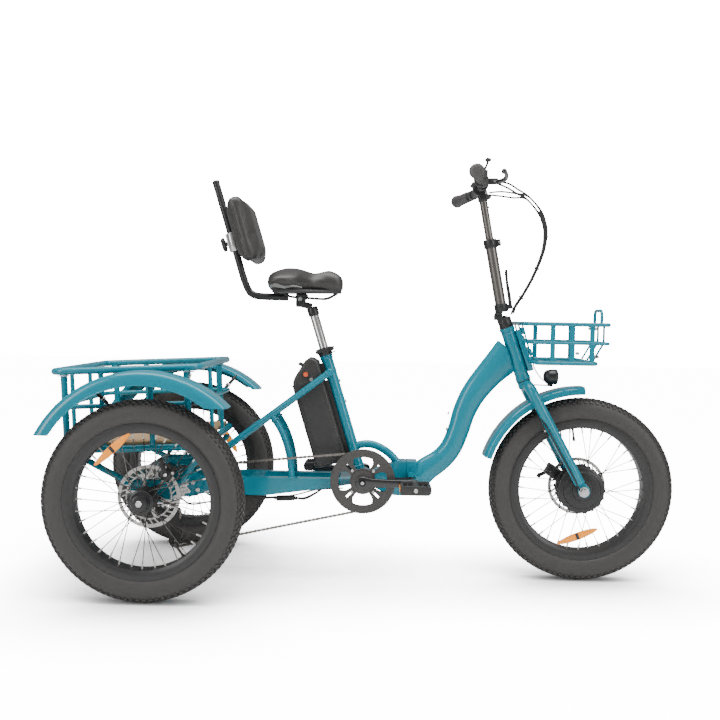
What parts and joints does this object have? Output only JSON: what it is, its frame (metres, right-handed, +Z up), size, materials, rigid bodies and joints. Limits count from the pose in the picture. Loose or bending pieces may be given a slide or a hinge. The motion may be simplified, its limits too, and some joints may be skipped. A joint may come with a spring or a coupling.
{
  "type": "adult tricycle",
  "caption": "Folding electric adult tricycle with fat tyres, rear cargo basket and deck, front basket, padded saddle with backrest, telescopic bar post and battery.",
  "frame": {"origin": "middle of the tricycle's length and width, on the floor under the tyres", "axes": "+X to the front along the tricycle's length, +Y to the rider's left, +Z up"},
  "size_m": [1.818, 0.77, 1.2569],
  "materials": {
    "amber_lens": "gloss",
    "black_paint": "satin",
    "black_plastic": "satin",
    "black_vinyl": "satin",
    "bright_steel": "satin",
    "cable_rubber": "satin",
    "chain_steel": "satin",
    "clear_lens": "gloss",
    "grey_alloy": "satin",
    "grey_plastic": "satin",
    "grip_rubber": "matte",
    "plywood": "satin",
    "red_button": "gloss",
    "teal_paint": "gloss",
    "tyre_rubber": "matte"
  },
  "bodies": {
    "rear_frame": {"seat_tube": "teal_paint", "upper_stays": "teal_paint", "lower_beam": "teal_paint", "rear_subframe": "teal_paint", "cargo_basket": "teal_paint", "cargo_deck": "plywood", "rear_fenders": "teal_paint", "fender_stays": "black_paint", "rear_calipers": "black_paint", "battery_rail": "black_plastic", "chain": "chain_steel", "derailleur": "black_plastic", "rear_cables": "cable_rubber", "frame_bolts": "bright_steel"},
    "battery": {"battery_case": "grey_plastic"},
    "button": {"power_button": "red_button"},
    "crank": {"chainring": "grey_plastic", "crank_arms": "black_paint"},
    "right_pedal": {"pedal_right": "black_plastic"},
    "left_pedal": {"pedal_left": "black_plastic"},
    "cogs": {"cassette": "chain_steel"},
    "right_wheel": {"tyre_right": "tyre_rubber", "rim_right": "black_paint", "spokes_right": "bright_steel", "hub_right": "black_paint"},
    "left_wheel": {"tyre_left": "tyre_rubber", "rim_left": "black_paint", "spokes_left": "bright_steel", "hub_left": "black_paint"},
    "front_frame": {"main_tube": "teal_paint", "head_tube": "teal_paint", "hinge_plate": "teal_paint", "front_basket": "teal_paint"},
    "fold_lever": {"frame_latch": "black_paint"},
    "steerer": {"fork": "teal_paint", "front_fender": "teal_paint", "headlight": "black_plastic", "front_caliper": "black_paint", "stem_base": "black_paint", "front_axle": "bright_steel"},
    "front_wheel": {"tyre_front": "tyre_rubber", "rim_front": "black_paint", "spokes_front": "bright_steel", "hub_motor": "black_paint"},
    "post": {"post_lower": "grey_alloy"},
    "post_lever": {"post_latch": "black_paint"},
    "bar": {"handlebar": "black_paint", "bar_controls": "black_plastic", "grips": "grip_rubber", "bar_cables": "cable_rubber"},
    "right_brake": {"brake_lever_right": "black_paint"},
    "left_brake": {"brake_lever_left": "black_paint"},
    "throttle": {"thumb_lever": "black_plastic"},
    "seat": {"seat_post": "bright_steel", "saddle": "black_vinyl", "backrest_frame": "black_paint"},
    "back_pad": {"backrest_pad": "black_vinyl", "pad_bracket": "bright_steel"},
    "knob": {"pad_knob": "black_plastic"},
    "seat_lever": {"seat_clamp": "black_paint"}
  },
  "joints": [
    {"name": "frame_fold", "type": "hinge", "parent": "rear_frame", "child": "front_frame", "pos_m": [0.10168, 0.036, 0.3], "axis": [0, 0, 1], "range_deg": [0, 65]},
    {"name": "fold_lever_turn", "type": "hinge", "parent": "front_frame", "child": "fold_lever", "pos_m": [0.11768, -0.034, 0.3], "axis": [0, 0, 1], "range_deg": [0, 80]},
    {"name": "steering", "type": "hinge", "parent": "front_frame", "child": "steerer", "pos_m": [0.45268, 0, 0.604], "axis": [-0.3289, 0, 0.9444], "range_deg": [-50, 50]},
    {"name": "front_wheel_spin", "type": "hinge", "parent": "steerer", "child": "front_wheel", "pos_m": [0.63068, 0, 0.278], "axis": [0, 1, 0], "continuous": true},
    {"name": "post_fold", "type": "hinge", "parent": "steerer", "child": "post", "pos_m": [0.36868, 0, 0.8], "axis": [0, -1, 0], "range_deg": [0, 90]},
    {"name": "post_lever_turn", "type": "hinge", "parent": "post", "child": "post_lever", "pos_m": [0.40749, 0, 0.8267], "axis": [0, 1, 0], "range_deg": [0, 70]},
    {"name": "bar_height", "type": "slide", "parent": "post", "child": "bar", "axis": [-0.1908, 0, 0.9816], "range_m": [-0.08, 0.05], "deforming": ["bar_cables"]},
    {"name": "right_brake_pull", "type": "hinge", "parent": "bar", "child": "right_brake", "pos_m": [0.33416, -0.1459, 1.178], "axis": [0, 0, -1], "range_deg": [0, 17], "stiffness_Nm_per_rad": 0.6, "springref_deg": -8.59},
    {"name": "left_brake_pull", "type": "hinge", "parent": "bar", "child": "left_brake", "pos_m": [0.33416, 0.1459, 1.178], "axis": [0, 0, 1], "range_deg": [0, 17], "stiffness_Nm_per_rad": 0.6, "springref_deg": -8.59},
    {"name": "throttle_push", "type": "hinge", "parent": "bar", "child": "throttle", "pos_m": [0.30867, -0.09214, 1.214], "axis": [0.0698, 0.9976, 0], "range_deg": [0, 35], "stiffness_Nm_per_rad": 0.12, "springref_deg": -8.59},
    {"name": "seat_height", "type": "slide", "parent": "rear_frame", "child": "seat", "axis": [-0.2957, 0, 0.9553], "range_m": [-0.08, 0.08]},
    {"name": "seat_lever_turn", "type": "hinge", "parent": "rear_frame", "child": "seat_lever", "pos_m": [-0.12793, -0.021, 0.69156], "axis": [-0.2957, 0, 0.9553], "range_deg": [0, 60]},
    {"name": "pad_height", "type": "slide", "parent": "seat", "child": "back_pad", "axis": [-0.2925, 0, 0.9563], "range_m": [-0.03, 0.06]},
    {"name": "knob_turn", "type": "hinge", "parent": "back_pad", "child": "knob", "pos_m": [-0.45051, 0, 1.00141], "axis": [-0.9563, 0, -0.2925], "range_deg": [0, 180]},
    {"name": "crank_spin", "type": "hinge", "parent": "rear_frame", "child": "crank", "pos_m": [-0.02732, 0, 0.302], "axis": [0, 1, 0], "continuous": true},
    {"name": "right_pedal_spin", "type": "hinge", "parent": "crank", "child": "right_pedal", "pos_m": [0.12468, -0.192, 0.302], "axis": [0, 1, 0], "continuous": true},
    {"name": "left_pedal_spin", "type": "hinge", "parent": "crank", "child": "left_pedal", "pos_m": [-0.17932, 0.192, 0.302], "axis": [0, 1, 0], "continuous": true},
    {"name": "cog_spin", "type": "hinge", "parent": "rear_frame", "child": "cogs", "pos_m": [-0.61732, -0.092, 0.278], "axis": [0, 1, 0], "continuous": true},
    {"name": "right_wheel_spin", "type": "hinge", "parent": "rear_frame", "child": "right_wheel", "pos_m": [-0.61732, -0.3325, 0.278], "axis": [0, 1, 0], "continuous": true},
    {"name": "left_wheel_spin", "type": "hinge", "parent": "rear_frame", "child": "left_wheel", "pos_m": [-0.61732, 0.3325, 0.278], "axis": [0, 1, 0], "continuous": true},
    {"name": "battery_slide", "type": "slide", "parent": "rear_frame", "child": "battery", "axis": [-0.2957, 0, 0.9553], "range_m": [0, 0.1]},
    {"name": "button_press", "type": "slide", "parent": "battery", "child": "button", "axis": [0, 1, 0], "range_m": [0, 0.0015], "stiffness_N_per_m": 800, "springref_m": -0.001}
  ],
  "couplings": [
    {"joint": "cog_spin", "follows": "crank_spin", "ratio": 1.75}
  ]
}
